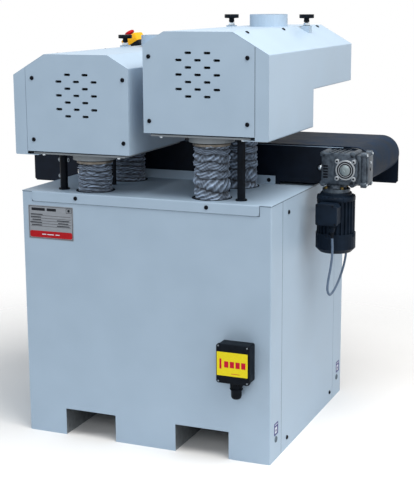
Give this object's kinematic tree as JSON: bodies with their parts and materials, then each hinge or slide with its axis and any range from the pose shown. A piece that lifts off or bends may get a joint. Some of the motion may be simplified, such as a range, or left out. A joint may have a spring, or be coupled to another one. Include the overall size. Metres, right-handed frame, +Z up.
{
  "type": "drum sander",
  "caption": "Two-head drum sander: lifting heads over a through-feed belt on a steel cabinet, with worm-geared feed drive, dust spigots and set knobs.",
  "frame": {"origin": "on the floor, at the centre of the cabinet's footprint, on the underside of the middle foot", "axes": "+X along the belt from infeed to outfeed, +Y from the front of the cabinet to the back, +Z up"},
  "size_m": [1.318, 0.9326, 1.4372],
  "materials": {
    "powder_coat": "satin",
    "zinc_sheet": "satin",
    "frame_paint": "satin",
    "black_plastic": "matte",
    "navy_paint": "satin",
    "belt_rubber": "matte",
    "ground_steel": "satin",
    "wheel_bronze": "satin",
    "cast_aluminium": "matte",
    "motor_enamel": "satin",
    "cable_sheath": "matte",
    "bellows_fabric": "matte",
    "abrasive_cloth": "matte",
    "stop_yellow": "satin",
    "stop_red": "gloss"
  },
  "bodies": {
    "base": {"cabinet_front": "powder_coat", "cabinet_rear": "powder_coat", "side_panel_left": "powder_coat", "side_panel_right": "powder_coat", "cabinet_lid": "powder_coat", "base_tray": "zinc_sheet", "inner_frame": "frame_paint", "terminal_box": "black_plastic", "terminal_box_lid": "black_plastic", "conveyor_plate_front": "navy_paint", "conveyor_plate_rear": "navy_paint", "slider_bed": "navy_paint", "conveyor_belt": "belt_rubber", "gearbox_housing": "cast_aluminium", "feed_motor": "motor_enamel", "feed_motor_cowl": "motor_enamel", "feed_motor_box": "motor_enamel", "feed_motor_cable": "cable_sheath", "bellows_front_left": "bellows_fabric", "bellows_rear_left": "bellows_fabric", "bellows_front_right": "bellows_fabric", "bellows_rear_right": "bellows_fabric", "guide_block_left": "cast_aluminium", "guide_block_right": "cast_aluminium"},
    "head_left": {"base_plate_left": "powder_coat", "housing_left": "powder_coat", "front_cover_left": "powder_coat", "side_hood_left": "powder_coat", "drum_motor_left": "motor_enamel", "drum_bearing_left": "cast_aluminium", "column_front_left": "ground_steel", "column_rear_left": "ground_steel", "lift_screw_left": "ground_steel", "cable_tube_left": "black_plastic", "estop_box": "stop_yellow"},
    "head_right": {"base_plate_right": "powder_coat", "housing_right": "powder_coat", "front_cover_right": "powder_coat", "side_hood_right": "powder_coat", "drum_motor_right": "motor_enamel", "drum_bearing_right": "cast_aluminium", "column_front_right": "ground_steel", "column_rear_right": "ground_steel", "lift_screw_right": "ground_steel", "cable_tube_right": "black_plastic"},
    "drum_left_body": {"drum_left": "abrasive_cloth"},
    "shoe_infeed_left_body": {"shoe_infeed_left": "ground_steel"},
    "knob_infeed_left_body": {"knob_infeed_left": "black_plastic"},
    "shoe_outfeed_left_body": {"shoe_outfeed_left": "ground_steel"},
    "knob_outfeed_left_body": {"knob_outfeed_left": "black_plastic"},
    "drum_right_body": {"drum_right": "abrasive_cloth"},
    "shoe_infeed_right_body": {"shoe_infeed_right": "ground_steel"},
    "knob_infeed_right_body": {"knob_infeed_right": "black_plastic"},
    "shoe_outfeed_right_body": {"shoe_outfeed_right": "ground_steel"},
    "knob_outfeed_right_body": {"knob_outfeed_right": "black_plastic"},
    "drive_roller_body": {"drive_roller": "ground_steel", "worm_wheel": "wheel_bronze"},
    "idler_roller_body": {"idler_roller": "ground_steel"},
    "feed_motor_rotor_body": {"feed_motor_rotor": "ground_steel"},
    "estop_button_body": {"estop_button": "stop_red"}
  },
  "joints": [
    {"name": "head_left_lift", "type": "slide", "parent": "base", "child": "head_left", "axis": [0, 0, 1], "range_m": [-0.092, 0.104], "deforming": ["bellows_front_left", "bellows_rear_left"]},
    {"name": "head_right_lift", "type": "slide", "parent": "base", "child": "head_right", "axis": [0, 0, 1], "range_m": [-0.1684, 0.0276], "deforming": ["bellows_front_right", "bellows_rear_right"]},
    {"name": "drum_left_spin", "type": "hinge", "parent": "head_left", "child": "drum_left_body", "pos_m": [-0.2145, 0.215, 1.1863], "axis": [0, 1, 0], "continuous": true},
    {"name": "shoe_infeed_left_lift", "type": "slide", "parent": "head_left", "child": "shoe_infeed_left_body", "axis": [0, 0, 1], "range_m": [0, 0.012]},
    {"name": "knob_infeed_left_turn", "type": "hinge", "parent": "shoe_infeed_left_body", "child": "knob_infeed_left_body", "pos_m": [-0.3575, 0.215, 1.3588], "axis": [0, 0, 1], "range_deg": [0, 2160]},
    {"name": "shoe_outfeed_left_lift", "type": "slide", "parent": "head_left", "child": "shoe_outfeed_left_body", "axis": [0, 0, 1], "range_m": [0, 0.012]},
    {"name": "knob_outfeed_left_turn", "type": "hinge", "parent": "shoe_outfeed_left_body", "child": "knob_outfeed_left_body", "pos_m": [-0.0735, 0.215, 1.3588], "axis": [0, 0, 1], "range_deg": [0, 2160]},
    {"name": "drum_right_spin", "type": "hinge", "parent": "head_right", "child": "drum_right_body", "pos_m": [0.2145, 0.215, 1.2627], "axis": [0, 1, 0], "continuous": true},
    {"name": "shoe_infeed_right_lift", "type": "slide", "parent": "head_right", "child": "shoe_infeed_right_body", "axis": [0, 0, 1], "range_m": [0, 0.012]},
    {"name": "knob_infeed_right_turn", "type": "hinge", "parent": "shoe_infeed_right_body", "child": "knob_infeed_right_body", "pos_m": [0.0735, 0.215, 1.4352], "axis": [0, 0, 1], "range_deg": [0, 2160]},
    {"name": "shoe_outfeed_right_lift", "type": "slide", "parent": "head_right", "child": "shoe_outfeed_right_body", "axis": [0, 0, 1], "range_m": [0, 0.012]},
    {"name": "knob_outfeed_right_turn", "type": "hinge", "parent": "shoe_outfeed_right_body", "child": "knob_outfeed_right_body", "pos_m": [0.3575, 0.215, 1.4352], "axis": [0, 0, 1], "range_deg": [0, 2160]},
    {"name": "drive_roller_spin", "type": "hinge", "parent": "base", "child": "drive_roller_body", "pos_m": [0.591, 0.22, 0.9345], "axis": [0, 1, 0], "continuous": true},
    {"name": "idler_roller_spin", "type": "hinge", "parent": "base", "child": "idler_roller_body", "pos_m": [-0.591, 0.22, 0.9345], "axis": [0, 1, 0], "continuous": true},
    {"name": "feed_motor_spin", "type": "hinge", "parent": "base", "child": "feed_motor_rotor_body", "pos_m": [0.5465, -0.02315, 0.78], "axis": [0, 0, 1], "continuous": true},
    {"name": "estop_press", "type": "slide", "parent": "head_left", "child": "estop_button_body", "axis": [-0.5, 0, 0.866], "range_m": [-0.005, 0], "stiffness_N_per_m": 800, "springref_m": 0.002}
  ],
  "couplings": [
    {"joint": "knob_infeed_left_turn", "follows": "shoe_infeed_left_lift", "rad_per_m": 3141.6},
    {"joint": "knob_outfeed_left_turn", "follows": "shoe_outfeed_left_lift", "rad_per_m": 3141.6},
    {"joint": "knob_infeed_right_turn", "follows": "shoe_infeed_right_lift", "rad_per_m": 3141.6},
    {"joint": "knob_outfeed_right_turn", "follows": "shoe_outfeed_right_lift", "rad_per_m": 3141.6},
    {"joint": "idler_roller_spin", "follows": "drive_roller_spin", "ratio": 1},
    {"joint": "feed_motor_spin", "follows": "drive_roller_spin", "ratio": 30}
  ]
}
